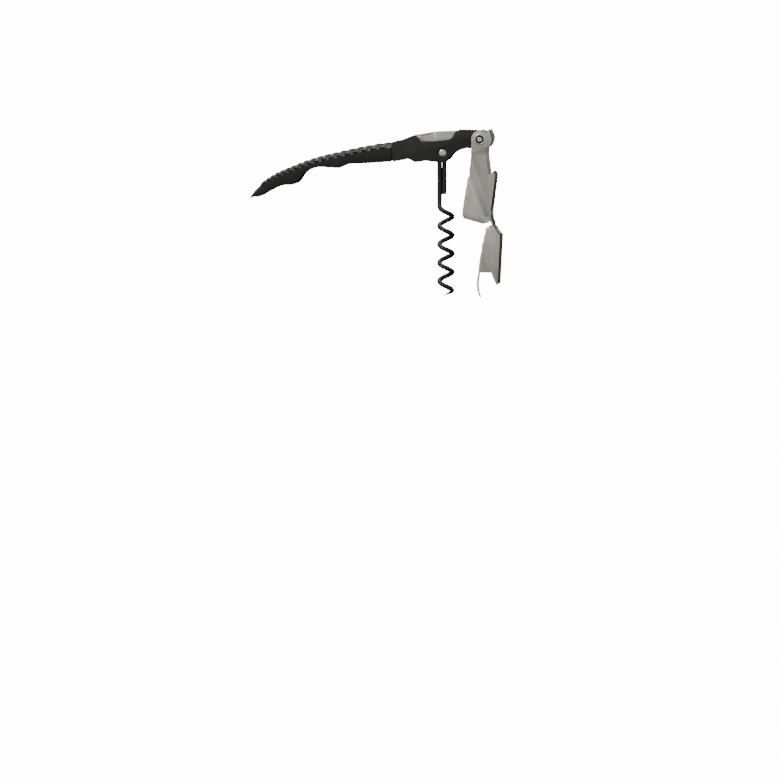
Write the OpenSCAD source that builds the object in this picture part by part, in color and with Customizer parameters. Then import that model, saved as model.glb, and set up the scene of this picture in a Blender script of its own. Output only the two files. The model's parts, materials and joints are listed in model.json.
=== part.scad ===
// Double-lever corkscrew: ribbed handle, foil knife, coated worm and a two-stage boot lever.
// X runs from the handle's tail to the levers, Z up the worm's axis, Y across the handle.
// The origin is the centre of the bottle's mouth, on the plane that the lever's seat rests on.

/* [Handle] */
// Overall width of the handle
handle_w = 12.4; // [12:0.1:15]
// Distance from the worm's axis back to the handle's tail
tail_reach = 96.5; // [80:0.5:116]
// Depth of each groove between two ribs
rib_depth = 0.7; // [0.2:0.1:1]
// Number of grooves across the back of the grip
rib_count = 19; // [8:1:24]
// Width of the groove where the grip meets the front scales
seam_gap = 0.5; // [0.2:0.1:1]

/* [Frame] */
// Thickness of the folded sheet of the frame
frame_t = 0.6; // [0.5:0.1:0.8]
// Clear width between the frame's cheeks
frame_gap = 9.4; // [9.3:0.1:9.8]

/* [Worm] */
// Diameter of the coated wire
wire_d = 2.4; // [1.8:0.1:2.6]
// Outside diameter of the coil
worm_d = 8.7; // [7.2:0.1:8.8]
// Advance of the coil in one turn
worm_pitch = 9; // [7.5:0.5:10.5]
// Number of turns below the straight shank
worm_turns = 4.9; // [4:0.1:5.6]
// Height of the worm's pin above the bottle's mouth
worm_pin_z = 34.2; // [33.6:0.1:34.6]
// Diameter of the worm's pin
worm_pin_d = 3.4; // [2.8:0.1:3.6]

/* [Levers] */
// Distance from the worm's axis to the lever's pin
lever_pin_x = 17.4; // [17:0.1:17.8]
// Height of the lever's pin above the bottle's mouth
lever_pin_z = 41; // [40.6:0.1:41.4]
// Diameter of the lever's pin
lever_pin_d = 3.6; // [3:0.1:4]
// Thickness of the levers' sheet
lever_t = 0.8; // [0.6:0.1:1.1]
// Length of the second lever below its link pin
second_len = 36; // [30:0.5:43]
// Diameter of the pin that links the two levers
link_pin_d = 1.8; // [1.4:0.1:2]

/* [Knife] */
// Thickness of the foil knife
knife_t = 1.6; // [1.2:0.1:1.9]
// Distance from the knife's pivot to its tip
knife_len = 36; // [30:0.5:43]

/* [Fits] */
// Radial clearance of each pin that something turns on
pin_fit = 0.05; // [0.03:0.01:0.09]
// Side clearance between two leaves that turn past each other
leaf_gap = 0.15; // [0.1:0.05:0.3]

/* [Hidden] */
$fn = 48;

half_w = handle_w / 2;
frame_in = frame_gap / 2;
frame_out = frame_in + frame_t;
seam_x = -26;
lug_x = 13.2;
lug_r = 4;

plate_in = half_w + leaf_gap;
plate_out = plate_in + lever_t;
joggle = 0.6;
joggle_top = 36.3;
joggle_low = 34.1;
boss_in = plate_in + joggle;
boss_out = boss_in + lever_t;

link_x = 20.9;
link_z = 2.7;
knuckle_r = 1.9;

// Lengths the outlines below are drawn at, before they are stretched.
drawn_tail = 96.5;
drawn_second = 36;
drawn_knife = 36;
rib_span = 70.5;
rivet_wall = 0.7;
detent_d = 1.4;

boss_r = 4.2;
lever_cap_r = 2.9;
lever_cap_t = 0.5;
washer_t = 0.2;
scallop_r = 2.65;
second_k = second_len / drawn_second;
knife_k = knife_len / drawn_knife;

worm_cap_sink = 0.55;
worm_cap_t = 0.45;
tang_r = 3.4;
nick_r = 0.35;
knife_washer_t = 0.4;
slack = 0.02;

worm_r = (worm_d - wire_d) / 2;
shank_x = -worm_r;
coil_top = 7.6;
eye_r = worm_pin_d / 2 + pin_fit * 3 + wire_d / 2;
eye_top = worm_pin_z + eye_r + wire_d / 2;
pin_x = -1;

STEEL = "silver";
BLACK = [0.16, 0.155, 0.15];

// A round bar along Y between two distances from the mid-plane.
module bar_y(x, z, r, y0, y1) {
    translate([x, y1, z])
        rotate([90, 0, 0])
            cylinder(r = r, h = y1 - y0);
}

// A side view, given as X and Z, drawn out along Y from y0 to y1.
module plate(y0, y1) {
    translate([0, y1, 0])
        rotate([90, 0, 0])
            linear_extrude(y1 - y0)
                children();
}

// The same piece on both sides of the mid-plane.
module both_sides() {
    children();
    mirror([0, 1, 0])
        children();
}

// ---- Handle -------------------------------------------------------------------------------

// The grip's underside from the seam to the tail, with its two finger hollows.
function under_pts() = [
    [seam_x, 29.9], [-38.2, 29], [-47.2, 28.5], [-50, 27.3], [-52.1, 26.6], [-61.9, 27],
    [-65.3, 26], [-67.6, 25], [-69.3, 23.7], [-70.4, 22.3], [-71.6, 20.4], [-73, 19],
    [-75, 18.3], [-79, 18], [-82.5, 16.9], [-87.5, 14.4], [-91, 12.4], [-94, 12.2],
    [-96.5, 11.2]];

// The grip's back from the tail to the seam, rising steeply from the tip and flattening out.
function back_pts() = [
    [-96, 13], [-94.2, 15.5], [-91, 18.7], [-88, 21], [-84, 23.5], [-79.8, 25.5], [-74.2, 27.8],
    [-67.2, 30.5], [-59.9, 32.7], [-51.5, 34.7], [-42, 36.8], [-32.6, 38.6], [seam_x, 39.4]];

// Scale a point of the grip along X only, about the seam.
function grow(p) = [seam_x + (p[0] - seam_x) * (tail_reach + seam_x) / (drawn_tail + seam_x),
    p[1]];

module grip_side() {
    polygon([for (p = concat(under_pts(), back_pts())) grow(p)]);
}

// Distance of a groove behind the seam: the grooves crowd together towards the tail.
function groove_u(i) = 0.045 + 0.9 * (1 - pow(1 - i / (rib_count + 3), 1.55));

// Height of the back at a share of the way from the seam to the tail.
function lerp_back(u) =
    let (x = seam_x - u * rib_span, pts = back_pts())
    lookup(x, pts);

// Steepness of the back there, as rise over run.
function back_slope(u) = (lerp_back(u - 0.01) - lerp_back(u + 0.01)) / (0.02 * rib_span);

module rib_grooves() {
    for (i = [0 : rib_count - 1]) {
        u = groove_u(i);
        x = grow([seam_x - u * rib_span, 0])[0];
        r = 1.5 - 0.9 * u;
        slope = back_slope(u);
        lift = (r - rib_depth) / sqrt(1 + slope * slope);
        translate([x - slope * lift, 0, lerp_back(u) + lift])
            rotate([0, 0, 12])
                bar_y(0, 0, r, -half_w - 3, half_w + 3);
    }
}

// The channel in the grip that takes the frame's cheeks and the folded worm.
module grip_channel() {
    plate(-frame_out, frame_out)
        polygon([[seam_x + 1, 20], [seam_x + 1, 37.2], [-32.6, 35.5], [-42, 33.6], [-51.5, 31.5],
            [-56, 30.2], [-56, 20]]);
    plate(-frame_in, frame_in)
        polygon([[-55, 10], [-55, 29.2], [-74.5, 25.8], [-74.5, 10]]);
}

module rear_grip() {
    color(BLACK)
        difference() {
            plate(-half_w, half_w) grip_side();
            grip_channel();
            rib_grooves();
            rivet_holes();
        }
}

// Side view of the scales in front of the seam, down to the worm's boss and out to the lug.
module front_side() {
    difference() {
        union() {
            front_outline();
            translate([lever_pin_x, lever_pin_z]) circle(r = lug_r);
        }
        translate([lever_pin_x, lever_pin_z]) circle(d = lever_pin_d);
    }
}

module front_outline() {
    polygon([[seam_x + seam_gap, 39.6], [-22, 40.2], [-15.5, 42.8], [-4, 44.8], [5, 45.3],
        [lug_x, 45.3], [lever_pin_x + 0.5, lever_pin_z + lug_r - 0.1],
        [lever_pin_x + 0.5, lever_pin_z - lug_r + 0.1],
        [lug_x, 36.5], [10.5, 36.7], [7, 35.6], [4.1, 33.9],
        [1.4, 30.5], [-1.9, 29.6], [-9.4, 30.4], [-14.3, 29.6], [-17.8, 31.3], [-21.8, 30.4],
        [seam_x + seam_gap, 29.9]]);
}

// A thin lip of the scale that closes the bottom of the seam's groove.
module seam_lip() {
    polygon([[seam_x + 0.02, 39], [seam_x + seam_gap + 1, 39.4], [seam_x + seam_gap + 1, 30.2],
        [seam_x + 0.02, 30.4]]);
}

// The window in the scales' top edge that lets a thumbnail reach the knife.
module knife_window() {
    polygon([[-15, 47], [-14.8, 43.7], [-10.8, 39.3], [2.2, 40.8], [3.6, 41.6], [6.6, 47]]);
}

// One scale of the front: a thick outer wall with a deep round recess for the pin's head.
module front_scale() {
    color(BLACK)
        difference() {
            union() {
                plate(-half_w, -frame_out) front_side();
                plate(-half_w + seam_gap, -frame_out) seam_lip();
            }
            plate(-half_w - 1, 0) knife_window();
            bar_y(pin_x, worm_pin_z, 2.6, -half_w - 1, -half_w + 0.6);
            bar_y(pin_x, worm_pin_z, worm_pin_d / 2, -half_w - 1, 0);
        }
}

module left_front_scale() {
    front_scale();
}

module right_front_scale() {
    mirror([0, 1, 0])
        front_scale();
}

// Side view of a frame cheek: inside the scales' outline, on into the grip and out to the lug.
module cheek_side() {
    difference() {
        union() {
            polygon([[-55.8, 30], [-55.8, 28.4], [-47, 29.4], [-38, 30], [seam_x, 30.8],
                [-21.8, 31.3], [-17.8, 32.2], [-14.3, 30.6], [-9.4, 31.3], [-1.9, 30.5],
                [1, 31.4], [3.4, 34.4], [6.6, 36.5], [10.5, 37.6], [lug_x, 37.4],
                [lever_pin_x, lever_pin_z - 3.4], [lever_pin_x, lever_pin_z + 3.4],
                [lug_x, 44.4], [5, 44.4], [-4, 43.9], [-15.5, 41.8], [-22, 38.9],
                [seam_x, 36.8], [-32.6, 35.3], [-42, 33.4], [-51.5, 31.3]]);
            translate([lever_pin_x, lever_pin_z]) circle(r = lug_r - 0.4);
        }
        translate([lever_pin_x, lever_pin_z]) circle(d = lever_pin_d);
        translate([pin_x, worm_pin_z]) circle(d = worm_pin_d);
        knife_window();
    }
}

module frame_cheeks() {
    color(STEEL)
        both_sides()
            difference() {
                plate(-frame_out, -frame_in) cheek_side();
                rivet_holes();
            }
}

// The bent web that joins the two cheeks along the back of the channel, behind the knife.
module frame_spine() {
    color(STEEL)
        difference() {
            plate(-frame_in, frame_in)
                polygon([[-54, 30.6], [-51.5, 31.2], [-42, 33.2], [-32.6, 35.2], [-27, 36.4],
                    [-27, 35.2], [-32.6, 34], [-42, 32], [-51.5, 30], [-54, 29.4]]);
            detent_rivet_holes();
        }
}

RIVETS = [[-31, 32.5], [-47, 30.6]];
rivet_d = 1.6;

module rivet_holes() {
    for (p = RIVETS)
        both_sides()
            bar_y(p[0], p[1], rivet_d / 2, -half_w + rivet_wall, -frame_in);
}

// Blind rivets that hold the grip on the frame's cheeks, set from inside the channel.
module frame_rivets() {
    color(STEEL)
        for (p = RIVETS)
            both_sides()
                bar_y(p[0], p[1], rivet_d / 2, -half_w + rivet_wall, -frame_in);
}

DETENT_RIVETS = [-47, -43];

function spine_low(x) = 32 + 0.212 * (x + 42);

module detent_rivet_holes() {
    for (x = DETENT_RIVETS)
        translate([x, 0, spine_low(x) - 2]) cylinder(d = detent_d, h = 5);
}

// A leaf spring along the back of the channel that presses on the folded worm's shank.
module detent_spring() {
    color("lightgray")
        difference() {
            plate(-2, 2)
                polygon([[-49.5, 30.4], [-42, 31.98], [-33, 33.9], [-33, 33.5], [-42, 31.58],
                    [-49.5, 30]]);
            for (x = DETENT_RIVETS)
                translate([x, 0, spine_low(x) - 4]) cylinder(d = detent_d, h = 8);
        }
}

module detent_rivets() {
    color(STEEL)
        for (x = DETENT_RIVETS)
            translate([x, 0, spine_low(x) - 1.05]) {
                cylinder(d = detent_d, h = 2.1);
                cylinder(d = detent_d + 0.8, h = 0.4);
            }
}

// ---- Worm ---------------------------------------------------------------------------------

SIDES = 10;
COIL_STEPS = 16;

function coil_pt(t) =
    let (a = 180 + 360 * t)
    [worm_r * cos(a), worm_r * sin(a), coil_top - worm_pitch * t];

// A doubled shank hugs the pin on both sides, so the loop's two ends run straight down.
return_x = shank_x + wire_d + 0.05;

// Centre line of the wire: down the straight shank, then round the coil.
function centre_line() = concat(
    [[shank_x, 0, worm_pin_z - eye_r - 1], [shank_x, 0, 20], [shank_x, 0, coil_top + 1.2]],
    [for (i = [0 : COIL_STEPS * worm_turns]) coil_pt(i / COIL_STEPS)]);

function unit(v) = v / norm(v);

function tangent(p, i) = unit(p[min(i + 1, len(p) - 1)] - p[max(i - 1, 0)]);

function ring(p, t, r) =
    let (side = unit(cross(t, [0.0001, 1, 0.0002])), up = cross(side, t))
    [for (k = [0 : SIDES - 1]) p + r * (cos(360 * k / SIDES) * side + sin(360 * k / SIDES) * up)];

module tube(path, radii) {
    n = len(path);
    rings = [for (i = [0 : n - 1]) each ring(path[i], tangent(path, i), radii[i])];
    skin = [for (i = [0 : n - 2], k = [0 : SIDES - 1])
        let (a = i * SIDES + k, b = i * SIDES + (k + 1) % SIDES)
        [a, b, b + SIDES, a + SIDES]];
    head = [[for (k = [SIDES - 1 : -1 : 0]) k]];
    tail = [[for (k = [0 : SIDES - 1]) (n - 1) * SIDES + k]];
    polyhedron(rings, concat(head, skin, tail), convexity = 10);
}

// The wire's radius along the centre line: full, then down to a sharp point over the last turn.
function wire_radii(n) = [for (i = [0 : n - 1])
    (wire_d / 2) * min(1, max(0.09, (n - 1 - i) / (1.1 * COIL_STEPS)))];

module worm() {
    path = centre_line();
    color("dimgray") {
        tube(path, wire_radii(len(path)));
        translate([return_x, 0, coil_top + 6.2])
            cylinder(d = wire_d, h = worm_pin_z - eye_r - 1 - coil_top - 6.2 + 0.6);
        difference() {
            hull() {
                bar_y(pin_x, worm_pin_z, eye_r + wire_d / 2, -wire_d / 2, wire_d / 2);
                translate([shank_x - wire_d / 2, -wire_d / 2, worm_pin_z - eye_r - 2.4])
                    cube([2 * wire_d, wire_d, 1]);
            }
            bar_y(pin_x, worm_pin_z, worm_pin_d / 2 + pin_fit, -wire_d, wire_d);
        }
    }
}

// Bushes that centre the worm's eye between the frame's cheeks.
module worm_bushes() {
    color(STEEL)
        both_sides()
            difference() {
                bar_y(pin_x, worm_pin_z, worm_pin_d / 2 + 0.8, -frame_in,
                    -wire_d / 2 - leaf_gap);
                bar_y(pin_x, worm_pin_z, worm_pin_d / 2, -frame_in - 1, 0);
            }
}

module worm_pin() {
    color(STEEL)
        bar_y(pin_x, worm_pin_z, worm_pin_d / 2, -half_w + worm_cap_sink, half_w - worm_cap_sink);
}

module worm_pin_caps() {
    color("white")
        both_sides()
            translate([pin_x, -half_w + worm_cap_sink, worm_pin_z])
                rotate([90, 0, 0])
                    cylinder(r1 = 1.9, r2 = 1.3, h = worm_cap_t);
}

// ---- Levers -------------------------------------------------------------------------------

module lever_pin() {
    color(STEEL)
        bar_y(lever_pin_x, lever_pin_z, lever_pin_d / 2, -boss_out - washer_t, boss_out + washer_t);
}

// The heads of the lever's pin, each with a ring-shaped groove.
module lever_pin_caps() {
    color("white")
        both_sides()
            difference() {
                bar_y(lever_pin_x, lever_pin_z, lever_cap_r, -boss_out - washer_t - lever_cap_t,
                    -boss_out - washer_t);
                difference() {
                    bar_y(lever_pin_x, lever_pin_z, 2, -boss_out - 1, -boss_out - 0.45);
                    bar_y(lever_pin_x, lever_pin_z, 1.3, -boss_out - 1, -boss_out);
                }
            }
}

// Thin washers between the pin's heads and the lever's bosses.
module lever_washers() {
    color("gray")
        both_sides()
            difference() {
                bar_y(lever_pin_x, lever_pin_z, lever_cap_r + 0.6, -boss_out - washer_t, -boss_out - slack);
                bar_y(lever_pin_x, lever_pin_z, lever_pin_d / 2, -boss_out - 1, 0);
            }
}

// Side view of a lever boss: a round eye with a hook that catches a cap's crown.
module boss_side() {
    union() {
        translate([lever_pin_x, lever_pin_z]) circle(r = boss_r);
        polygon([[13.3, 41], [13.3, joggle_top], [20.6, joggle_top], [21.9, 38.6], [22.9, 40.2],
            [23, 41.6], [22.6, 43.2], [22, 45.4], [21.3, 45.6], [20.4, 43.2], [17.4, 43]]);
    }
}

// Side view of a lever's lower plate, from the joggle down to the seat.
module plate_side() {
    difference() {
        polygon([[13, joggle_low], [13, 33], [12.7, 29], [12, 25.4], [11.3, 22], [10.5, 16.8],
            [9.6, 11.4], [8.8, 6], [8.9, 3.6], [9.8, 2.5], [18.7, 0], [21.6, 0.5],
            [22.9, 2], [22.6, 7], [23.8, 23.9], [22.9, 24.4], [21.7, 24], [21, 29.7],
            [20.5, 33.4], [20.6, joggle_low]]);
        for (p = [[9.7, 24.3], [8.5, 19.6], [7.5, 14.8], [6.5, 10.1]])
            translate(p) circle(r = scallop_r);
    }
}

// The channel's back from the toothed opener down to the hinge.
module web_side() {
    polygon([[22.7, 24.2], [23.8, 25.6], [24.9, 23.6], [22.7, 6], [21.7, 6], [22.9, 22]]);
}

module hook_tab() {
    polygon([[20.9, 37.2], [21.9, 39.2], [22.1, 40.8], [21.9, 42.6], [21.2, 45.6], [22, 45.4],
        [22.8, 43.2], [23.3, 41.8], [23.1, 39.8], [21.9, 37.4]]);
}

// The sloped bend between the boss's plane and the plate's plane.
module joggle_bend() {
    translate([13, 0, 0])
        rotate([90, 0, 90])
            linear_extrude(7.6)
                polygon([[-boss_out, joggle_top], [-boss_in, joggle_top], [-plate_in, joggle_low],
                    [-plate_out, joggle_low]]);
}

module upper_lever() {
    color(STEEL)
        difference() {
            union() {
                both_sides() {
                    plate(-boss_out, -boss_in) boss_side();
                    plate(-plate_out, -plate_in) plate_side();
                    joggle_bend();
                    plate(-boss_out, -1.4) hook_tab();
                }
                plate(-plate_out, plate_out) web_side();
            }
            bar_y(lever_pin_x, lever_pin_z, lever_pin_d / 2 + pin_fit, -20, 20);
            bar_y(link_x, link_z, link_pin_d / 2, -20, 20);
        }
}

module link_pin() {
    color(STEEL)
        bar_y(link_x, link_z, link_pin_d / 2, -plate_out, plate_out);
}

// Everything on the second lever stretches with its length, below the link pin.
function low(p) = [p[0], link_z + (p[1] - link_z) * second_k];

module second_side() {
    polygon([for (p = [[20.3, -1.6], [24.6, -1.5], [25.6, -3.6], [27.2, -5.6], [26.4, -23.6],
        [26, -28.8], [24.8, -28.6], [23, -23.8], [16.9, -23.8], [16.8, -21.5], [17.4, -16.8],
        [18.3, -12.6], [18.3, -10.6], [19.3, -8], [19.2, -6.6], [20, -4.4]]) low(p)]);
}

module second_web() {
    polygon([for (p = [[26.2, -4.8], [27.4, -5.6], [27.2, -12], [26.2, -29.6], [25.2, -29.8],
        [26.1, -12], [26.1, -5.6]]) low(p)]);
}

module second_tongue() {
    polygon([for (p = [[22.6, 3.4], [23.7, 0.4], [24.4, -3.2], [25.2, -7], [26.8, -10], [26.4, -12],
        [24.3, -7], [23.5, -3.2], [22.8, 0.2], [21.8, 2.4]]) low(p)]);
}

// The prong is on the near side only.
module prong_side() {
    polygon([for (p = [[16.9, -22.6], [16.2, -26.4], [15.9, -29.4], [16.2, -32.4],
        [17.1, -35], [17.6, -35.9], [18.2, -35.5], [17.3, -32.6], [17, -29.4], [17.3, -26.4],
        [18, -22.6]]) low(p)]);
}

module lower_lever() {
    tongue_half = plate_in - leaf_gap;
    color(STEEL)
        difference() {
            union() {
                both_sides()
                    plate(-plate_out, -plate_in) second_side();
                plate(-plate_out, -plate_in) prong_side();
                plate(-plate_out, plate_out) second_web();
                plate(-tongue_half, tongue_half) second_tongue();
                bar_y(link_x, link_z, knuckle_r, -tongue_half, tongue_half);
            }
            bar_y(link_x, link_z, link_pin_d / 2 + pin_fit, -20, 20);
        }
}

// ---- Knife --------------------------------------------------------------------------------

function blade(p) = [lever_pin_x + (p[0] - lever_pin_x) * knife_k, p[1]];

module knife_side() {
    polygon([for (p = [[17.4, 44.6], [5, 45], [-4, 44.7], [-14, 43], [-17.6, 41.6],
        [-18.6, 40.6], [-16, 39.4], [-8, eye_top + 0.25], [4, eye_top + 0.45], [10, 38.4],
        [17.4, 37.6]]) blade(p)]);
    translate([lever_pin_x, lever_pin_z]) circle(r = tang_r);
}

module knife_blade() {
    color("gainsboro")
        difference() {
            plate(-knife_t / 2, knife_t / 2) knife_side();
            bar_y(lever_pin_x, lever_pin_z, lever_pin_d / 2 + pin_fit, -20, 20);
            both_sides()
                hull() {
                    translate([-12, -knife_t / 2, 42.2]) sphere(r = nick_r, $fn = 24);
                    translate([-3, -knife_t / 2, 43.4]) sphere(r = nick_r, $fn = 24);
                }
        }
}

// Bushes between the knife and the frame's cheeks, with a thin friction washer on each side.
module knife_bushes() {
    color(STEEL)
        both_sides()
            difference() {
                bar_y(lever_pin_x, lever_pin_z, tang_r - 0.5, -frame_in, -knife_t / 2 - knife_washer_t);
                bar_y(lever_pin_x, lever_pin_z, lever_pin_d / 2, -20, 0);
            }
}

module knife_washers() {
    color("goldenrod")
        both_sides()
            difference() {
                bar_y(lever_pin_x, lever_pin_z, tang_r - 0.2, -knife_t / 2 - knife_washer_t,
                    -knife_t / 2 - slack);
                bar_y(lever_pin_x, lever_pin_z, lever_pin_d / 2, -20, 0);
            }
}

rear_grip();
left_front_scale();
right_front_scale();
frame_cheeks();
frame_spine();
frame_rivets();
worm();
worm_pin();
worm_pin_caps();
worm_bushes();
lever_pin();
lever_pin_caps();
upper_lever();
lever_washers();
lower_lever();
link_pin();
knife_blade();
knife_bushes();
knife_washers();
detent_spring();
detent_rivets();
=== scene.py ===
"""Looks of a double-lever corkscrew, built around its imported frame."""

import json
import math

import bmesh
import bpy
from bpy.props import FloatProperty, FloatVectorProperty, IntProperty, PointerProperty
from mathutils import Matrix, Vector

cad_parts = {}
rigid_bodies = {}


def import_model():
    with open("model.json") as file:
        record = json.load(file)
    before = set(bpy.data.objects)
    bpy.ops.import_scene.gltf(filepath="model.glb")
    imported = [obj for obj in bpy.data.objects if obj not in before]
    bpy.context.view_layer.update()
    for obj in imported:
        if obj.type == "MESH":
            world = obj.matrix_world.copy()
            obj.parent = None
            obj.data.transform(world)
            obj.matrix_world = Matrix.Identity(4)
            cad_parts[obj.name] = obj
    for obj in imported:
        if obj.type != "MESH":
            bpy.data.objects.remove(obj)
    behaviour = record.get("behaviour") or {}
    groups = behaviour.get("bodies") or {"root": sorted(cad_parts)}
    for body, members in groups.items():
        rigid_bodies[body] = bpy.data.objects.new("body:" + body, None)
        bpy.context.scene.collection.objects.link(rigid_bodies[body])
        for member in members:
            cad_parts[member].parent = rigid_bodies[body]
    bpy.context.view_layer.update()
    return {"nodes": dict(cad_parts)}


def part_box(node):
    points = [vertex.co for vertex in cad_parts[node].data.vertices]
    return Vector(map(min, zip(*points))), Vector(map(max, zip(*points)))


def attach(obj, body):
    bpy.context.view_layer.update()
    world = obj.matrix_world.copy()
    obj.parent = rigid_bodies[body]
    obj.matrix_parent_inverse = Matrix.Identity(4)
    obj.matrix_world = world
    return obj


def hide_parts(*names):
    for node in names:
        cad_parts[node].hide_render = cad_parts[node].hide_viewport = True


bl_info = {
    "name": "Lever Corkscrew",
    "version": (1, 0, 0),
    "blender": (4, 5, 0),
    "location": "View3D > Sidebar > Corkscrew",
    "description": "Builds the visible pieces of a double-lever corkscrew around its frame",
    "category": "Object",
}

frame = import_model()

MM = 0.001
LEVER_PIN = Vector((17.4, 0, 41)) * MM
WORM_PIN = Vector((-1, 0, 34.2)) * MM


def node_span(node, axis):
    """Lowest and highest place of a frame node along X, Y or Z."""
    low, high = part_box(node)
    return low[axis], high[axis]


# Sizes and colours -------------------------------------------------------------------------


class GripSettings(bpy.types.PropertyGroup):
    rib_count: IntProperty(name="Ribs", description="Raised ribs across the back", default=19)
    rib_height: FloatProperty(
        name="Rib height", description="How far a rib stands proud", default=0.55 * MM, subtype="DISTANCE"
    )
    crown: FloatProperty(
        name="Crown", description="Drop of the rounded back at its sides", default=2.1 * MM, subtype="DISTANCE"
    )
    colour: FloatVectorProperty(
        name="Colour", description="Colour of the black plastic", default=(0.022, 0.021, 0.019), subtype="COLOR"
    )


class WormSettings(bpy.types.PropertyGroup):
    wire: FloatProperty(name="Wire", description="Diameter of the wire", default=2.4 * MM, subtype="DISTANCE")
    coil: FloatProperty(
        name="Coil", description="Radius of the coil's centre line", default=3.15 * MM, subtype="DISTANCE"
    )
    pitch: FloatProperty(name="Pitch", description="Advance in one turn", default=9 * MM, subtype="DISTANCE")
    colour: FloatVectorProperty(
        name="Colour",
        description="Colour of the non-stick coating",
        default=(0.012, 0.012, 0.012),
        subtype="COLOR",
    )


class SteelSettings(bpy.types.PropertyGroup):
    edge: FloatProperty(
        name="Edge", description="Rounding of stamped edges", default=0.14 * MM, subtype="DISTANCE"
    )
    colour: FloatVectorProperty(
        name="Colour", description="Colour of the satin steel", default=(0.74, 0.72, 0.62), subtype="COLOR"
    )


class StageSettings(bpy.types.PropertyGroup):
    azimuth: FloatProperty(
        name="Azimuth", description="Camera's turn", default=math.radians(7.5), subtype="ANGLE"
    )
    elevation: FloatProperty(
        name="Elevation", description="Camera's height angle", default=math.radians(5.4), subtype="ANGLE"
    )
    distance: FloatProperty(name="Distance", description="Camera's distance", default=2.5, subtype="DISTANCE")
    drop: FloatProperty(
        name="Floor", description="Floor's depth below the origin", default=0.26, subtype="DISTANCE"
    )


class CorkscrewSettings(bpy.types.PropertyGroup):
    grip: PointerProperty(type=GripSettings)
    worm: PointerProperty(type=WormSettings)
    steel: PointerProperty(type=SteelSettings)
    stage: PointerProperty(type=StageSettings)


# Materials ---------------------------------------------------------------------------------


class Surface:
    """A material and short ways to add the nodes that a finish is made of."""

    def __init__(self, name):
        self.material = bpy.data.materials.new(name)
        self.material.use_nodes = True
        self.tree = self.material.node_tree
        self.shader = self.tree.nodes["Principled BSDF"]
        self.place = self.add("ShaderNodeTexCoord").outputs["Object"]

    def add(self, kind, **settings):
        node = self.tree.nodes.new(kind)
        for key, value in settings.items():
            setattr(node, key, value)
        return node

    def link(self, out, into):
        self.tree.links.new(out, into)

    def set(self, **values):
        for key, value in values.items():
            self.shader.inputs[key.replace("_", " ")].default_value = value

    def noise(self, scale, detail=4.0, stretch=(1, 1, 1), rough=0.55):
        mapping = self.add("ShaderNodeMapping")
        mapping.inputs["Scale"].default_value = stretch
        self.link(self.place, mapping.inputs["Vector"])
        noise = self.add("ShaderNodeTexNoise")
        noise.inputs["Scale"].default_value = scale
        noise.inputs["Detail"].default_value = detail
        noise.inputs["Roughness"].default_value = rough
        self.link(mapping.outputs["Vector"], noise.inputs["Vector"])
        return noise.outputs["Fac"]

    def ramp(self, out, stops):
        ramp = self.add("ShaderNodeValToRGB")
        for element, (at, colour) in zip(ramp.color_ramp.elements, (stops[0], stops[-1])):
            element.position = at
            element.color = (*colour, 1)
        for at, colour in stops[1:-1]:
            ramp.color_ramp.elements.new(at).color = (*colour, 1)
        self.link(out, ramp.inputs["Fac"])
        return ramp.outputs["Color"]

    def spread(self, out, low, high, start=0.3, end=0.7):
        node = self.add("ShaderNodeMapRange")
        for key, value in (("From Min", start), ("From Max", end), ("To Min", low), ("To Max", high)):
            node.inputs[key].default_value = value
        self.link(out, node.inputs["Value"])
        return node.outputs["Result"]

    def colour(self, out, *stops):
        """Colours the surface by a ramp over a pattern."""
        self.link(self.ramp(out, stops), self.shader.inputs["Base Color"])

    def bump(self, *layers):
        normal = None
        for out, strength, distance in layers:
            node = self.add("ShaderNodeBump")
            node.inputs["Strength"].default_value = strength
            node.inputs["Distance"].default_value = distance
            self.link(out, node.inputs["Height"])
            if normal:
                self.link(normal, node.inputs["Normal"])
            normal = node.outputs["Normal"]
        self.link(normal, self.shader.inputs["Normal"])


def shade(colour, factor):
    return tuple(min(1.0, c * factor) for c in colour)


def black_plastic(colour):
    """Soft-touch moulded plastic: fine spark-eroded grain, faint handling polish and dust."""
    s = Surface("black_plastic")
    cloud = s.noise(90, 5)
    s.colour(cloud, (0.3, shade(colour, 0.8)), (0.55, colour), (0.75, shade(colour, 1.6)))
    s.link(s.spread(s.noise(240, 6), 0.42, 0.6), s.shader.inputs["Roughness"])
    s.bump((s.noise(5200, 3), 0.22, 0.00006), (s.noise(700, 4), 0.08, 0.0001))
    s.set(Specular_IOR_Level=0.45)
    return s.material


def satin_steel(name, colour, stretch=(1, 1, 0.05), rough=(0.3, 0.44), scale=2600):
    """Sheet steel brushed along its length, with handling marks and fine scratches."""
    s = Surface(name)
    brushed = s.noise(scale, 6, stretch)
    cloud = s.noise(110, 5)
    scratches = s.noise(900, 8, (1, 1, 6), 0.75)
    tint = s.ramp(brushed, [(0.25, shade(colour, 0.8)), (0.5, colour), (0.75, shade(colour, 1.14))])
    stain = s.ramp(cloud, [(0.35, (0.86, 0.85, 0.83)), (0.6, (1, 1, 1))])
    mix = s.add("ShaderNodeMix", data_type="RGBA", blend_type="MULTIPLY")
    mix.inputs["Factor"].default_value = 0.6
    s.link(tint, mix.inputs[6])
    s.link(stain, mix.inputs[7])
    s.link(mix.outputs[2], s.shader.inputs["Base Color"])
    s.link(s.spread(cloud, *rough), s.shader.inputs["Roughness"])
    s.bump((brushed, 0.1, 0.00004), (scratches, 0.04, 0.00005))
    s.set(Metallic=1.0)
    return s.material


def polished_steel():
    """Burnished rivet heads with a few dull spots."""
    s = Surface("polished_steel")
    cloud = s.noise(600, 5)
    s.colour(cloud, (0.3, (0.72, 0.72, 0.71)), (0.7, (0.9, 0.9, 0.89)))
    s.link(s.spread(cloud, 0.12, 0.26), s.shader.inputs["Roughness"])
    s.bump((s.noise(2500, 4), 0.06, 0.00004))
    s.set(Metallic=1.0)
    return s.material


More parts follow.
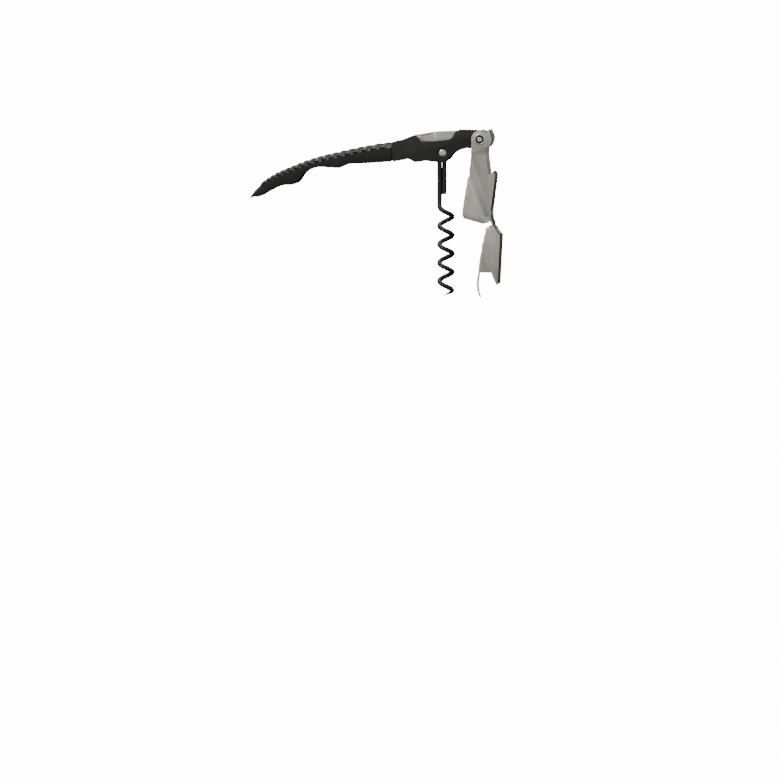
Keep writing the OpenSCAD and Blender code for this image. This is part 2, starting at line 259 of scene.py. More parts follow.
def ring_steel():
    """A rivet head with a bright rim and middle, and painted shade darkening the groove between them."""
    s = Surface("ring_steel")
    flat = s.add("ShaderNodeVectorMath", operation="MULTIPLY")
    s.link(s.place, flat.inputs[0])
    flat.inputs[1].default_value = (1, 0, 1)
    away = s.add("ShaderNodeVectorMath", operation="DISTANCE")
    s.link(flat.outputs["Vector"], away.inputs[0])
    away.inputs[1].default_value = (LEVER_PIN.x, 0, LEVER_PIN.z)
    share = s.spread(away.outputs["Value"], 0, 1, 0, 3 * MM)
    # Painted shade: the colour turns near black in the groove between the rim and the middle, by distance from the
    # pin's axis.
    bright, groove_shade = (0.82, 0.82, 0.8), (0.03, 0.03, 0.03)
    s.colour(share, (0.38, bright), (0.42, groove_shade), (0.64, groove_shade), (0.7, bright))
    s.link(s.spread(s.noise(600, 5), 0.14, 0.3), s.shader.inputs["Roughness"])
    s.bump((s.noise(2500, 4), 0.06, 0.00004))
    s.set(Metallic=1.0)
    return s.material


def coated_wire(colour):
    """Black non-stick coating, thicker in places, rubbed through to steel at the point."""
    s = Surface("coated_wire")
    cloud = s.noise(420, 6)
    split = s.add("ShaderNodeSeparateXYZ")
    s.link(s.place, split.inputs["Vector"])
    low = node_span("worm", 2)[0]
    wear = s.add("ShaderNodeMapRange")
    for key, value in (("From Min", low), ("From Max", low + 0.006), ("To Min", 0.62), ("To Max", 0.0)):
        wear.inputs[key].default_value = value
    s.link(split.outputs["Z"], wear.inputs["Value"])
    rub = s.add("ShaderNodeMath", operation="ADD")
    s.link(wear.outputs["Result"], rub.inputs[0])
    s.link(cloud, rub.inputs[1])
    worn = s.add("ShaderNodeMapRange")
    worn.inputs["From Min"].default_value = 0.85
    worn.inputs["From Max"].default_value = 0.95
    s.link(rub.outputs[0], worn.inputs["Value"])
    mix = s.add("ShaderNodeMix", data_type="RGBA")
    s.link(worn.outputs["Result"], mix.inputs["Factor"])
    s.link(s.ramp(cloud, [(0.3, shade(colour, 0.7)), (0.7, shade(colour, 1.8))]), mix.inputs[6])
    mix.inputs[7].default_value = (0.5, 0.49, 0.46, 1)
    s.link(mix.outputs[2], s.shader.inputs["Base Color"])
    s.link(worn.outputs["Result"], s.shader.inputs["Metallic"])
    s.link(s.spread(cloud, 0.26, 0.42), s.shader.inputs["Roughness"])
    s.bump((s.noise(3000, 4), 0.12, 0.00005))
    return s.material


def bronze():
    """Phosphor bronze washers, slightly tarnished."""
    s = Surface("bronze")
    cloud = s.noise(500, 5)
    s.colour(cloud, (0.3, (0.4, 0.24, 0.1)), (0.7, (0.7, 0.48, 0.22)))
    s.link(s.spread(cloud, 0.25, 0.45), s.shader.inputs["Roughness"])
    s.bump((s.noise(2500, 4), 0.08, 0.00004))
    s.set(Metallic=1.0)
    return s.material


MATERIALS = {}


def material(name):
    """The finish of that name, made the first time that it is asked for."""
    settings = bpy.context.scene.corkscrew
    steel = tuple(settings.steel.colour)
    makers = {
        "grip": lambda: black_plastic(tuple(settings.grip.colour)),
        "steel": lambda: satin_steel("satin_steel", steel),
        "blade_steel": lambda: satin_steel("blade_steel", (0.8, 0.79, 0.76), (0.06, 1, 1), (0.24, 0.38), 3200),
        "polished": polished_steel,
        "ring_head": ring_steel,
        "coated_wire": lambda: coated_wire(tuple(settings.worm.colour)),
        "bronze": bronze,
    }
    if name not in MATERIALS:
        MATERIALS[name] = makers[name]()
    return MATERIALS[name]


# Meshes ------------------------------------------------------------------------------------


def new_object(name, data):
    piece = bpy.data.objects.new(name, data)
    bpy.context.scene.collection.objects.link(piece)
    return piece


def from_bmesh(name, bm):
    bmesh.ops.remove_doubles(bm, verts=bm.verts, dist=1e-7)
    bmesh.ops.recalc_face_normals(bm, faces=bm.faces)
    mesh = bpy.data.meshes.new(name)
    bm.to_mesh(mesh)
    bm.free()
    return new_object(name, mesh)


def skin(bm, rings):
    """Joins closed rings of equally many points into a tube without ends."""
    count = len(rings[0])
    for ahead, behind in zip(rings, rings[1:]):
        for k in range(count):
            j = (k + 1) % count
            bm.faces.new((ahead[k], ahead[j], behind[j], behind[k]))


def close_ends(bm, rings):
    """Closes the first and the last ring."""
    for ring in (rings[0], rings[-1]):
        bmesh.ops.triangulate(bm, faces=[bm.faces.new(ring)])


def circle_at(bm, pin, radius, y, steps):
    """A ring of points about a pin."""
    angles = [2 * math.pi * k / steps for k in range(steps)]
    return [bm.verts.new((pin.x + radius * math.cos(a), y, pin.z + radius * math.sin(a))) for a in angles]


def smooth(piece, degrees=35):
    piece.data.shade_smooth()
    piece.data.set_sharp_from_angle(angle=math.radians(degrees))


def make_plain(piece):
    """Turns the piece and its modifiers into one plain mesh."""
    name = piece.name
    shown = piece.evaluated_get(bpy.context.evaluated_depsgraph_get())
    mesh = bpy.data.meshes.new_from_object(shown)
    mesh.name = name
    bpy.data.objects.remove(piece)
    plain = new_object(name, mesh)
    plain.name = name
    return plain


def wear(piece, slot):
    """Gives a piece its one finish."""
    piece.data.materials.clear()
    piece.data.materials.append(material(slot))


def seat(piece, body, slot, *nodes):
    """Puts a finished piece on its body in place of frame nodes."""
    wear(piece, slot)
    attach(piece, body)
    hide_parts(*nodes)


def finish_node(node, slot):
    """Gives a frame node that is kept its material."""
    for holder in frame["nodes"][node].material_slots:
        holder.material = material(slot)


def softened(node, name, width, segments=3, degrees=28):
    """A copy of a frame node with its stamped or moulded edges rounded over."""
    bm = bmesh.new()
    bm.from_mesh(frame["nodes"][node].data)
    bmesh.ops.remove_doubles(bm, verts=bm.verts, dist=2e-6)
    bmesh.ops.dissolve_limit(bm, angle_limit=math.radians(1.5), verts=bm.verts, edges=bm.edges)
    mesh = bpy.data.meshes.new(name)
    bm.to_mesh(mesh)
    bm.free()
    piece = new_object(name, mesh)
    bevel = piece.modifiers.new("edges", "BEVEL")
    bevel.width = width
    bevel.segments = segments
    bevel.limit_method = "ANGLE"
    bevel.angle_limit = math.radians(degrees)
    bevel.use_clamp_overlap = True
    piece = make_plain(piece)
    smooth(piece, 30)
    return piece


def spline_height(points, x):
    """Height of a smooth curve through points that run along X, at one X."""
    pts = sorted(points)
    if x <= pts[0][0]:
        return pts[0][1]
    if x >= pts[-1][0]:
        return pts[-1][1]
    i = max(k for k in range(len(pts) - 1) if pts[k][0] <= x)
    p0, p1, p2, p3 = (pts[min(max(k, 0), len(pts) - 1)] for k in (i - 1, i, i + 1, i + 2))
    gap = p2[0] - p1[0]
    t = (x - p1[0]) / gap
    m1 = (p2[1] - p0[1]) / (p2[0] - p0[0]) * gap
    m2 = (p3[1] - p1[1]) / (p3[0] - p1[0]) * gap
    a, b = 2 * t**3 - 3 * t**2 + 1, t**3 - 2 * t**2 + t
    return a * p1[1] + b * m1 + (1 - a) * p2[1] + (t**3 - t**2) * m2


# Side view of the grip in millimetres: its back and its underside, from the seam to the tail.
BACK = [(-96.4, 11.8), (-96, 13), (-94.2, 15.5), (-91, 18.7), (-88, 21), (-84, 23.5), (-79.8, 25.5),
        (-74.2, 27.8), (-67.2, 30.5), (-59.9, 32.7), (-51.5, 34.7), (-42, 36.8), (-32.6, 38.6), (-26, 39.4)]
UNDER = [(-26, 29.9), (-38.2, 29), (-47.2, 28.5), (-50, 27.3), (-52.1, 26.6), (-61.9, 27), (-65.3, 26),
         (-67.6, 25), (-69.3, 23.7), (-70.4, 22.3), (-71.6, 20.4), (-73, 19), (-75, 18.3), (-79, 18),
         (-82.5, 16.9), (-87.5, 14.4), (-91, 12.4), (-94, 12.2), (-96.4, 11.3)]
SEAM, TAIL = -26.0, -96.4
# The channel below the grip: the frame's part and the narrower part for the worm's point.
FRAME_ROOF = [(-56, 30.2), (-51.5, 31.5), (-42, 33.6), (-32.6, 35.5), (-26, 37)]
WORM_ROOF = [(-74.5, 25.8), (-55, 29.2)]
FRAME_END, WORM_END = -56.0, -74.5
FRAME_HALF, WORM_HALF = node_span("frame_cheeks", 1)[1] / MM, node_span("frame_spine", 1)[1] / MM


def channel_at(x):
    """Half width and roof height of the grip's channel, or none."""
    if x > FRAME_END:
        return FRAME_HALF, spline_height(FRAME_ROOF, x)
    if x > WORM_END:
        return WORM_HALF, spline_height(WORM_ROOF, x)
    return None


def grip_section(x, half, crown, sink):
    """One closed section of the grip: sides, crowned back, then up and over the channel."""
    top = spline_height(BACK, x) - sink
    low = spline_height(UNDER, x)
    drop = min(crown, (top - low) * 0.45)
    tuck = 0.55 * min(1.0, (top - low) / 6)
    ring = [(-half + tuck, low), (-half + 0.3 * tuck, low + 0.3 * tuck), (-half, low + tuck)]
    steps = 16
    for k in range(steps + 1):
        y = half * math.sin(math.pi * (k / steps - 0.5))
        ring.append((y, top - drop * abs(y / half) ** 2.4))
    ring += [(half, low + tuck), (half - 0.3 * tuck, low + 0.3 * tuck), (half - tuck, low)]
    channel = channel_at(x)
    inner, roof = channel if channel else (WORM_HALF, low)
    ring += [(inner, low), (inner, roof), (-inner, roof), (-inner, low)]
    return [Vector((x, y, z)) * MM for y, z in ring]


def rib_places(count):
    """X of each rib's crest, crowding together towards the tail."""
    span = 70.5
    shares = [0.03 + 0.93 * (1 - (1 - k / (count + 3)) ** 1.55) for k in range(count)]
    return [SEAM - span * u for u in shares]


# Geometry Nodes ----------------------------------------------------------------------------


class NodeTree:
    """A geometry tree with named inputs, and short ways to add and join nodes."""

    def __init__(self, name, inputs):
        self.tree = bpy.data.node_groups.new(name, "GeometryNodeTree")
        self.ids = {}
        face = self.tree.interface
        face.new_socket("Geometry", in_out="INPUT", socket_type="NodeSocketGeometry")
        for label, kind in inputs:
            self.ids[label] = face.new_socket(label, in_out="INPUT", socket_type=kind).identifier
        face.new_socket("Geometry", in_out="OUTPUT", socket_type="NodeSocketGeometry")
        self.given = self.tree.nodes.new("NodeGroupInput")
        self.out = self.tree.nodes.new("NodeGroupOutput")

    def add(self, kind, links=(), **settings):
        node = self.tree.nodes.new(kind)
        for key, value in settings.items():
            setattr(node, key, value)
        for socket, source in dict(links).items():
            if hasattr(source, "is_output"):
                self.tree.links.new(source, node.inputs[socket])
            else:
                node.inputs[socket].default_value = source
        return node

    def close(self, geometry):
        """Ends the tree in Realize Instances and Set Material."""
        real = self.add("GeometryNodeRealizeInstances", {"Geometry": geometry})
        finish = {"Geometry": real.outputs[0], "Material": self.given.outputs["Material"]}
        painted = self.add("GeometryNodeSetMaterial", finish)
        self.tree.links.new(painted.outputs[0], self.out.inputs[0])

    def build(self, piece, values):
        """Runs the tree on a piece with these inputs, and leaves a plain mesh."""
        modifier = piece.modifiers.new("nodes", "NODES")
        modifier.node_group = self.tree
        for label, value in values.items():
            modifier[self.ids[label]] = value
        return make_plain(piece)


FLOAT, SHADE = "NodeSocketFloat", "NodeSocketMaterial"


def wire_tree():
    """Sweeps a round wire along a curve and draws it out to a point at the end."""
    t = NodeTree(
        "swept_wire",
        [("Wire Radius", FLOAT), ("Point Length", FLOAT), ("Sides", "NodeSocketInt"), ("Material", SHADE)],
    )
    given = t.given.outputs
    length = t.add("GeometryNodeSplineParameter").outputs["Length"]
    whole = t.add("GeometryNodeSplineLength").outputs["Length"]
    left = t.add("ShaderNodeMath", {0: whole, 1: length}, operation="SUBTRACT")
    share = t.add(
        "ShaderNodeMath", {0: left.outputs[0], 1: given["Point Length"]}, operation="DIVIDE", use_clamp=True
    )
    eased = t.add("ShaderNodeMath", {0: share.outputs[0], 1: 0.7}, operation="POWER")
    thick = t.add("ShaderNodeMath", {0: eased.outputs[0], 1: 0.04}, operation="MAXIMUM")
    radius = t.add("GeometryNodeSetCurveRadius", {"Curve": given["Geometry"], "Radius": thick.outputs[0]})
    ring = t.add("GeometryNodeCurvePrimitiveCircle", {"Resolution": given["Sides"], "Radius": given["Wire Radius"]})
    taper = t.add("GeometryNodeInputRadius")
    path = {"Curve": radius.outputs[0], "Profile Curve": ring.outputs[0], "Scale": taper.outputs[0]}
    sweep = t.add("GeometryNodeCurveToMesh", {**path, "Fill Caps": True})
    t.close(sweep.outputs[0])
    return t


def rib_tree():
    """Lays an arched rib across the back at every point along it."""
    t = NodeTree(
        "arched_ribs",
        [("Half Width", FLOAT), ("Crown", FLOAT), ("Height", FLOAT), ("Slant", FLOAT), ("Material", SHADE)],
    )
    half, crown = t.given.outputs["Half Width"], t.given.outputs["Crown"]
    back = t.add("ShaderNodeMath", {0: half, 1: -1.0}, operation="MULTIPLY")
    down = t.add("ShaderNodeMath", {0: crown, 1: -1.0}, operation="MULTIPLY")
    slant = t.add("ShaderNodeMath", {0: t.given.outputs["Slant"], 1: -1.0}, operation="MULTIPLY")
    start = t.add("ShaderNodeCombineXYZ", {0: slant.outputs[0], 1: back.outputs[0], 2: down.outputs[0]})
    end = t.add("ShaderNodeCombineXYZ", {0: t.given.outputs["Slant"], 1: half, 2: down.outputs[0]})
    middle = t.add("ShaderNodeCombineXYZ", {2: crown})
    arch = t.add(
        "GeometryNodeCurveQuadraticBezier",
        {"Resolution": 28, "Start": start.outputs[0], "Middle": middle.outputs[0], "End": end.outputs[0]},
    )
    ring = t.add("GeometryNodeCurvePrimitiveCircle", {"Resolution": 12, "Radius": t.given.outputs["Height"]})
    path = {"Curve": arch.outputs[0], "Profile Curve": ring.outputs[0]}
    rib = t.add("GeometryNodeCurveToMesh", {**path, "Fill Caps": True})
    width = t.add("GeometryNodeInputNamedAttribute", {"Name": "rib_width"}, data_type="FLOAT")
    tall = t.add("GeometryNodeInputNamedAttribute", {"Name": "rib_tall"}, data_type="FLOAT")
    scale = t.add("ShaderNodeCombineXYZ", {0: width.outputs["Attribute"], 1: 1.0, 2: tall.outputs["Attribute"]})
    laid = t.add(
        "GeometryNodeInstanceOnPoints",
        {"Points": t.given.outputs["Geometry"], "Instance": rib.outputs[0], "Scale": scale.outputs[0]},
    )
    t.close(laid.outputs[0])
    return t


def both_ends_tree():
    """Repeats what is made on the near side of a pin on its far side, turned about the pin."""
    t = NodeTree("both_ends", [("Pin X", FLOAT), ("Material", SHADE)])
    shift = t.add("ShaderNodeMath", {0: t.given.outputs["Pin X"], 1: 2.0}, operation="MULTIPLY")
    move = t.add("ShaderNodeCombineXYZ", {0: shift.outputs[0]})
    turn = {"Translation": move.outputs[0], "Rotation": (0, 0, math.pi)}
    far = t.add("GeometryNodeTransform", {"Geometry": t.given.outputs["Geometry"], **turn})
    both = t.add("GeometryNodeJoinGeometry")
    t.tree.links.new(t.given.outputs["Geometry"], both.inputs[0])
    t.tree.links.new(far.outputs[0], both.inputs[0])
    t.close(both.outputs[0])
    return t


def turned(name, pin, profile, steps=64):
    """A head turned about a pin: the profile runs from the axis out, as radius and Y."""
    bm = bmesh.new()
    rings = []
    for radius, y in profile:
        if radius == 0:
            rings.append([bm.verts.new((pin.x, y, pin.z))])
            continue
        rings.append(circle_at(bm, pin, radius, y, steps))
    for inner, outer in zip(rings, rings[1:]):
        for k in range(steps):
            j = (k + 1) % steps
            face = [inner[k % len(inner)], outer[k % len(outer)], outer[j % len(outer)], inner[j % len(inner)]]
            bm.faces.new(list(dict.fromkeys(face)))
    return from_bmesh(name, bm)


# Pieces ------------------------------------------------------------------------------------


class CORKSCREW_OT_grip(bpy.types.Operator):
    """Build the ribbed rear grip"""

    bl_idname = "corkscrew.grip"
    bl_label = "Rear grip"

    def execute(self, context):
        settings = context.scene.corkscrew.grip
        half = node_span("rear_grip", 1)[1] / MM
        sink = settings.rib_height / MM
        stations = 300
        places = [SEAM + (TAIL - SEAM) * k / stations for k in range(stations + 1)]
        step = 0.004
        places += [FRAME_END - step, FRAME_END + step, WORM_END - step, WORM_END + step]
        places = sorted(set(places), reverse=True)
        bm = bmesh.new()
        rings = []
        for x in places:
            near_tail = max(0.0, (TAIL + 9 - x) / 9)
            narrow = half * (1 - 0.42 * near_tail**2)
            near_seam = max(0.0, 1 - (SEAM - x) / 0.35)
            section = grip_section(x, narrow - 0.2 * near_seam, settings.crown / MM, sink + 0.2 * near_seam)
            rings.append([bm.verts.new(p) for p in section])
        skin(bm, rings)
        close_ends(bm, rings)
        grip = from_bmesh("grip_body", bm)
        smooth(grip, 40)
        seat(grip, "handle", "grip", "rear_grip")
        self.lay_ribs(settings, half)
        return {"FINISHED"}

    def lay_ribs(self, settings, half):
        places = rib_places(settings.rib_count)
        curve = bpy.data.curves.new("grip_ribs", "CURVE")
        curve.dimensions = "3D"
        line = curve.splines.new("POLY")
        line.points.add(len(places) - 1)
        sink = settings.rib_height
        for point, x in zip(line.points, places):
            point.co = (x * MM, 0, spline_height(BACK, x) * MM - sink, 1)
        path = new_object("rib_path", curve)
        mesh = bpy.data.meshes.new_from_object(path)
        bpy.data.objects.remove(path)
        widths = [abs(a - b) for a, b in zip(places, places[1:])]
        widths.append(widths[-1])
        for name, values in (
            ("rib_width", [0.34 * w * MM / sink for w in widths]),
            ("rib_tall", [1.0 if x > -88 else 0.8 for x in places]),
        ):
            mesh.attributes.new(name, "FLOAT", "POINT").data.foreach_set("value", values)
        ribs = new_object("grip_ribs", mesh)
        ribs = rib_tree().build(
            ribs,
            {
                "Half Width": (half - 0.12) * MM,
                "Crown": settings.crown,
                "Height": sink,
                "Slant": 0.9 * MM,
                "Material": material("grip"),
            },
        )
        smooth(ribs, 40)
        wear(ribs, "grip")
        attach(ribs, "handle")


class CORKSCREW_OT_scales(bpy.types.Operator):
    """Build the two front scales with rounded edges"""

    bl_idname = "corkscrew.scales"
    bl_label = "Front scales"

    def execute(self, context):
        for side in ("left", "right"):
            node = f"{side}_front_scale"
            seat(softened(node, f"{side}_scale", 0.42 * MM, 4), "handle", "grip", node)
        return {"FINISHED"}


class CORKSCREW_OT_frame(bpy.types.Operator):
    """Finish the steel frame, its spring and the parts on its pins"""

    bl_idname = "corkscrew.frame"
    bl_label = "Frame and pins"

    def execute(self, context):
        finishes = {
            "steel": ("frame_cheeks", "frame_spine", "frame_rivets", "worm_bushes", "lever_washers", "link_pin",
                      "knife_bushes", "detent_rivets"),
            "polished": ("worm_pin", "lever_pin"),
            "blade_steel": ("detent_spring",),
            "bronze": ("knife_washers",),
        }
        for slot, nodes in finishes.items():
            for node in nodes:
                finish_node(node, slot)
        return {"FINISHED"}


class CORKSCREW_OT_rivet_heads(bpy.types.Operator):
    """Build the domed head of the worm's pin and the ring head of the lever's pin"""

    bl_idname = "corkscrew.rivet_heads"
    bl_label = "Rivet heads"

    def execute(self, context):
        low = node_span("worm_pin_caps", 1)[0]
        profile = [(0, low)]
        profile += [(1.9 * MM * math.sin(a), low + 0.45 * MM * (1 - math.cos(a))) for a in
                    (math.radians(15 * k) for k in range(1, 7))]
        profile += [(1.9 * MM, low + 0.5 * MM), (0, low + 0.5 * MM)]
        self.place("worm_rivet_heads", WORM_PIN, profile, "worm_pin_caps", "polished")
        low = node_span("lever_pin_caps", 1)[0]
        ring = [(0, 0), (0.6, 0.01), (1.05, 0.05), (1.25, 0.12), (1.32, 0.3), (1.42, 0.36), (1.85, 0.36),
                (1.95, 0.3), (2.02, 0.08), (2.15, 0), (2.5, 0.03), (2.75, 0.12), (2.9, 0.3), (2.9, 0.5), (0, 0.5)]
        self.place("lever_rivet_heads", LEVER_PIN, [(r * MM, low + y * MM) for r, y in ring], "lever_pin_caps",
                   "ring_head")
        return {"FINISHED"}

    def place(self, name, pin, profile, node, slot):
        head = both_ends_tree().build(turned(name, pin, profile), {"Pin X": pin.x, "Material": material(slot)})
        smooth(head, 50)
        seat(head, "handle", "polished", node)
        head.data.materials[0] = material(slot)


class CORKSCREW_OT_worm(bpy.types.Operator):
    """Build the coated worm: one wire, round its pin, down the shank and round the coil"""

    bl_idname = "corkscrew.worm"
    bl_label = "Worm"

    def centre_line(self, settings):
        """Points of the wire's centre: up the return leg, round the pin, down and round."""
        wire, coil = settings.wire, settings.coil
        back_leg = -coil + wire * 0.99
        loop = 1.7 * MM + 0.15 * MM + wire / 2
        pin_low = WORM_PIN.z - loop - 1.2 * MM
        points = [Vector((back_leg, 0, z * MM)) for z in (13.9, 16, 20, 24)]
        points.append(Vector((back_leg, 0, pin_low + 0.2 * MM)))
        points += [
            WORM_PIN + Vector((math.cos(a), 0, math.sin(a))) * loop
            for a in (math.radians(-50 + 10 * k) for k in range(27))
        ]
        points += [Vector((-coil, 0, z * MM)) for z in (30, 26, 22, 18, 14, 11.5)]
        top, bottom = 7.6 * MM, node_span("worm", 2)[0]
        blend = 1.3 * MM
        z = 10.5 * MM
        while z > bottom + 0.1 * MM:
            run = ((top - z) + math.hypot(top - z, blend)) / 2
            angle = math.pi + 2 * math.pi * run / settings.pitch
            points.append(Vector((coil * math.cos(angle), coil * math.sin(angle), z)))
            z -= 0.2 * MM
        return points

    def execute(self, context):
        settings = context.scene.corkscrew.worm
        curve = bpy.data.curves.new("worm_wire", "CURVE")
        curve.dimensions = "3D"
        points = self.centre_line(settings)
        line = curve.splines.new("POLY")
        line.points.add(len(points) - 1)
        for point, place in zip(line.points, points):
            point.co = (*place, 1)
        values = {
            "Wire Radius": settings.wire / 2,
            "Point Length": 9 * MM,
            "Sides": 20,
            "Material": material("coated_wire"),
        }
        worm = wire_tree().build(new_object("worm_wire", curve), values)
        smooth(worm, 50)
        seat(worm, "worm", "coated_wire", "worm")
        return {"FINISHED"}


class CORKSCREW_OT_levers(bpy.types.Operator):
    """Build both stages of the boot lever with rounded stamped edges"""

    bl_idname = "corkscrew.levers"
    bl_label = "Levers"

    def execute(self, context):
        edge = context.scene.corkscrew.steel.edge
        for node in ("upper_lever", "lower_lever"):
            seat(softened(node, f"{node}_channel", edge, 2), node, "steel", node)
        return {"FINISHED"}


class CORKSCREW_OT_knife(bpy.types.Operator):
    """Build the foil knife: a tang round the pin and a ground, serrated blade with a nail nick"""

    bl_idname = "corkscrew.knife"
    bl_label = "Foil knife"

    SPINE = [(-18.5, 40.7), (-17.6, 41.6), (-16, 42.4), (-14, 43), (-9, 44), (-4, 44.7), (5, 45), (12.9, 44.9)]
    EDGE = [(-18.5, 40.5), (-16, 39.4), (-8, 38.75), (4, 38.95), (12.9, 38.1)]
    HEEL, GRIND = 10.5, 0.9
    NICK_TIP, NICK_HEEL, NICK_DEPTH = -14, -4.5, 0.42
    TANG, BORE = 3.4, 1.85

    def section(self, x, half):
        """Across the blade at one X: spine, flats, ground bevels and the wavy edge."""
        top, edge = spline_height(self.SPINE, x), spline_height(self.EDGE, x)
        tall = top - edge
        wave = 0.14 * abs(math.sin(math.pi * x / 1.1)) if -16.5 < x < self.HEEL - 1.5 else 0
        grind = self.GRIND if x < self.HEEL else self.GRIND * max(0.0, 1 - (x - self.HEEL) / 1.5)
        foot = half if grind == 0 else half * (1 - 0.9 * min(1, grind / self.GRIND))
        nick = 0.0
        if self.NICK_TIP < x < self.NICK_HEEL:
            share = (x - self.NICK_TIP) / (self.NICK_HEEL - self.NICK_TIP)
            nick = self.NICK_DEPTH * math.sin(math.pi * share) ** 0.6
        round_over = min(0.25, tall * 0.2)
        shoulder = min(edge + wave + min(grind, tall * 0.45) + 0.05, top - 2.4 * round_over)
        nick_top = top - 0.75 if nick else top - 2 * round_over
        nick_low = nick_top - 0.55
        if nick_low < shoulder + 0.2:
            nick, nick_top, nick_low = 0.0, top - 1.6 * round_over, top - 1.9 * round_over
        near = [(-half, nick_low), (-half + nick, nick_top - 0.08), (-half, nick_top)]
        side = [(-foot, edge + wave), (-half, shoulder), *near, (-half, top - round_over), (-half + round_over, top)]
        return side + [(-y, z) for y, z in reversed(side)]

    def blade(self, half):
        bm = bmesh.new()
        steps = 360
        start, end = self.SPINE[0][0], self.SPINE[-1][0]
        rings = []
        for k in range(steps + 1):
            x = start + (end - start) * k / steps
            rings.append([bm.verts.new((x * MM, y * MM, z * MM)) for y, z in self.section(x, half)])
        skin(bm, rings)
        close_ends(bm, rings)
        return from_bmesh("foil_knife_blade", bm)

    def tang(self, wide):
        """The round end of the knife, with the pin's bore through it."""
        outer, bore, chamfer = self.TANG * MM, self.BORE * MM, 0.12 * MM
        profile = [(bore, -wide), (outer - chamfer, -wide), (outer, -wide + chamfer), (outer, wide - chamfer),
                   (outer - chamfer, wide), (bore, wide), (bore, -wide)]
        bm = bmesh.new()
        skin(bm, [circle_at(bm, LEVER_PIN, radius, y, 96) for radius, y in profile])
        return from_bmesh("foil_knife_tang", bm)

    def execute(self, context):
        half = node_span("knife_blade", 1)[1] / MM
        blade = self.blade(half)
        smooth(blade, 25)
        seat(blade, "knife", "blade_steel", "knife_blade")
        tang = self.tang(half * 0.985 * MM)
        smooth(tang, 30)
        wear(tang, "blade_steel")
        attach(tang, "knife")
        return {"FINISHED"}


# Stage -------------------------------------------------------------------------------------


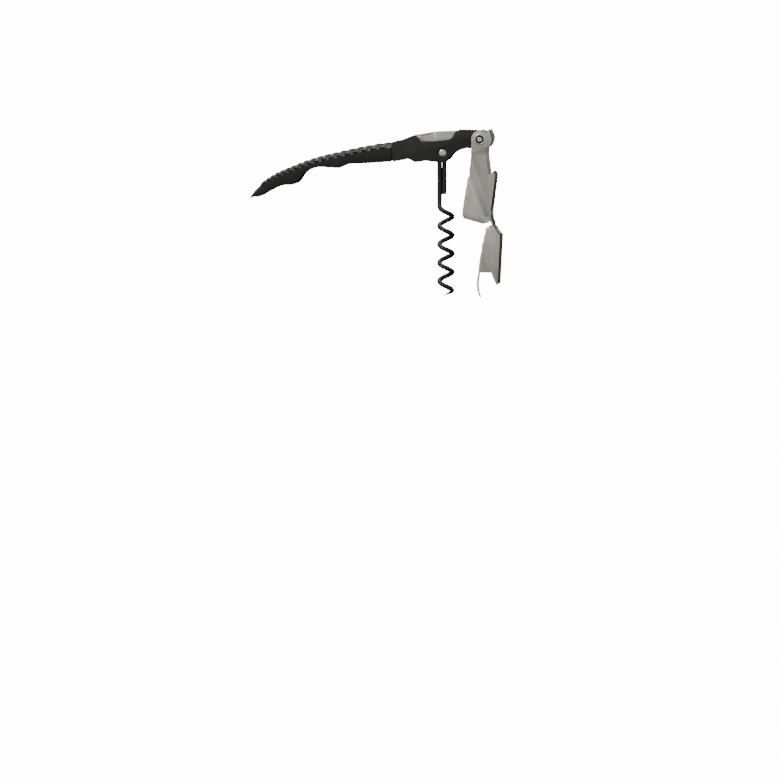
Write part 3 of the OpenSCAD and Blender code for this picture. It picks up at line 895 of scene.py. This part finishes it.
class CORKSCREW_OT_stage(bpy.types.Operator):
    """Build the pale sweep, the soft lights and the camera"""

    bl_idname = "corkscrew.stage"
    bl_label = "Stage"

    def execute(self, context):
        settings = context.scene.corkscrew.stage
        self.sweep(settings.drop)
        self.lights()
        self.camera(settings)
        return {"FINISHED"}

    def sweep(self, drop):
        """A plain pale floor that runs far out on every side."""
        bm = bmesh.new()
        bmesh.ops.create_grid(bm, x_segments=1, y_segments=1, size=30)
        for vert in bm.verts:
            vert.co.z = -drop
        floor = from_bmesh("floor", bm)
        s = Surface("pale_floor")
        s.colour(s.noise(3, 2), (0.3, (0.9, 0.9, 0.9)), (0.7, (0.93, 0.93, 0.93)))
        s.set(Roughness=0.9, Emission_Color=(1, 1, 1, 1), Emission_Strength=14.0)
        floor.data.materials.append(s.material)
        floor.visible_diffuse = False
        floor.visible_glossy = False

    def flag(self, name, place, size):
        """A black board beside the set, seen only in reflections."""
        bm = bmesh.new()
        bmesh.ops.create_grid(bm, x_segments=1, y_segments=1, size=size / 2)
        board = from_bmesh(name, bm)
        board.location = place
        board.rotation_euler = (-Vector(place)).to_track_quat("Z", "Y").to_euler()
        s = Surface(f"{name}_black")
        s.colour(s.noise(3, 2), (0.3, (0.01, 0.01, 0.01)), (0.7, (0.02, 0.02, 0.02)))
        s.set(Roughness=1.0)
        board.data.materials.append(s.material)
        board.visible_camera = False
        board.visible_shadow = False

    def panel(self, name, place, size, power, target=(0, 0, 0.02)):
        light = bpy.data.lights.new(name, "AREA")
        light.shape = "RECTANGLE"
        light.size, light.size_y = size
        light.energy = power
        lamp = new_object(name, light)
        lamp.location = place
        lamp.rotation_euler = (Vector(target) - Vector(place)).to_track_quat("-Z", "Y").to_euler()

    def lights(self):
        self.panel("key", (-1.0, -1.5, 1.2), (0.9, 0.9), 14)
        self.panel("top", (-0.1, 0.3, 1.3), (1.2, 0.7), 14)
        self.flag("right_flag", (0.3, 0.5, -0.05), 0.9)
        world = bpy.data.worlds.new("studio")
        world.use_nodes = True
        tree = world.node_tree
        back = tree.nodes["Background"]
        back.inputs["Strength"].default_value = 0.5
        split = tree.nodes.new("ShaderNodeSeparateXYZ")
        fade = tree.nodes.new("ShaderNodeMapRange")
        for key, value in (("From Min", -0.55), ("From Max", -0.2), ("To Min", 0.12), ("To Max", 1.0)):
            fade.inputs[key].default_value = value
        tree.links.new(tree.nodes.new("ShaderNodeTexCoord").outputs["Generated"], split.inputs["Vector"])
        tree.links.new(split.outputs["Z"], fade.inputs["Value"])
        tree.links.new(fade.outputs["Result"], back.inputs["Color"])
        bpy.context.scene.world = world

    def camera(self, settings):
        a, e = settings.azimuth, settings.elevation
        back = Vector((math.sin(a) * math.cos(e), -math.cos(a) * math.cos(e), math.sin(e)))
        centre = Vector((-0.0275, 0, -0.0823))
        lens = bpy.data.cameras.new("camera")
        lens.sensor_width = 36
        across = 780 * 0.00049
        lens.lens = lens.sensor_width * settings.distance / across
        camera = new_object("camera", lens)
        camera.location = centre + back * settings.distance
        camera.rotation_euler = (-back).to_track_quat("-Z", "Y").to_euler()
        bpy.context.scene.camera = camera


OPERATORS = (
    CORKSCREW_OT_stage,
    CORKSCREW_OT_frame,
    CORKSCREW_OT_grip,
    CORKSCREW_OT_scales,
    CORKSCREW_OT_rivet_heads,
    CORKSCREW_OT_worm,
    CORKSCREW_OT_levers,
    CORKSCREW_OT_knife,
)


class CORKSCREW_PT_panel(bpy.types.Panel):
    """Lists the pieces in the sidebar"""

    bl_label = "Corkscrew"
    bl_idname = "CORKSCREW_PT_panel"
    bl_space_type = "VIEW_3D"
    bl_region_type = "UI"
    bl_category = "Corkscrew"

    def draw(self, context):
        for operator in OPERATORS:
            self.layout.operator(operator.bl_idname)


CLASSES = (
    GripSettings,
    WormSettings,
    SteelSettings,
    StageSettings,
    CorkscrewSettings,
    *OPERATORS,
    CORKSCREW_PT_panel,
)


def register():
    for cls in CLASSES:
        bpy.utils.register_class(cls)
    bpy.types.Scene.corkscrew = PointerProperty(type=CorkscrewSettings)


def unregister():
    del bpy.types.Scene.corkscrew
    for cls in reversed(CLASSES):
        bpy.utils.unregister_class(cls)


def main():
    register()
    for operator in OPERATORS:
        group, name = operator.bl_idname.split(".")
        getattr(getattr(bpy.ops, group), name)()


if __name__ == "__main__":
    main()
